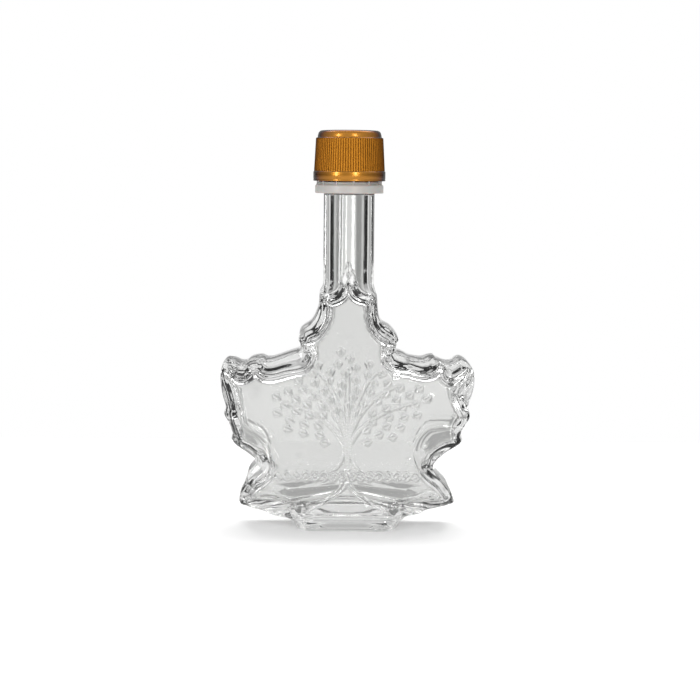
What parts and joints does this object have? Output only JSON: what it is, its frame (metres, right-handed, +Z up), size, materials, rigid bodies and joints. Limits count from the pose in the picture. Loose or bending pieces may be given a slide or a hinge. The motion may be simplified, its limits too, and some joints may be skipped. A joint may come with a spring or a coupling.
{
  "type": "leaf-shaped glass bottle",
  "caption": "Leaf-shaped clear glass bottle with a round neck, a block foot, a ribbed gold screw cap and a white tamper ring.",
  "frame": {"origin": "centre of the base, on the surface the bottle stands on", "axes": "+Z up through the neck and cap, the leaf's decorated front faces -Y, +X to the right seen from the front"},
  "size_m": [0.1196, 0.0435, 0.1865],
  "materials": {
    "glass": "clear fire-polished glass",
    "cap_plastic": "gold moulded plastic with fine ribs",
    "ring_plastic": "milky white moulded plastic"
  },
  "bodies": {
    "root": {"bottle": "glass", "cap": "cap_plastic", "collar": "ring_plastic"}
  },
  "joints": []
}
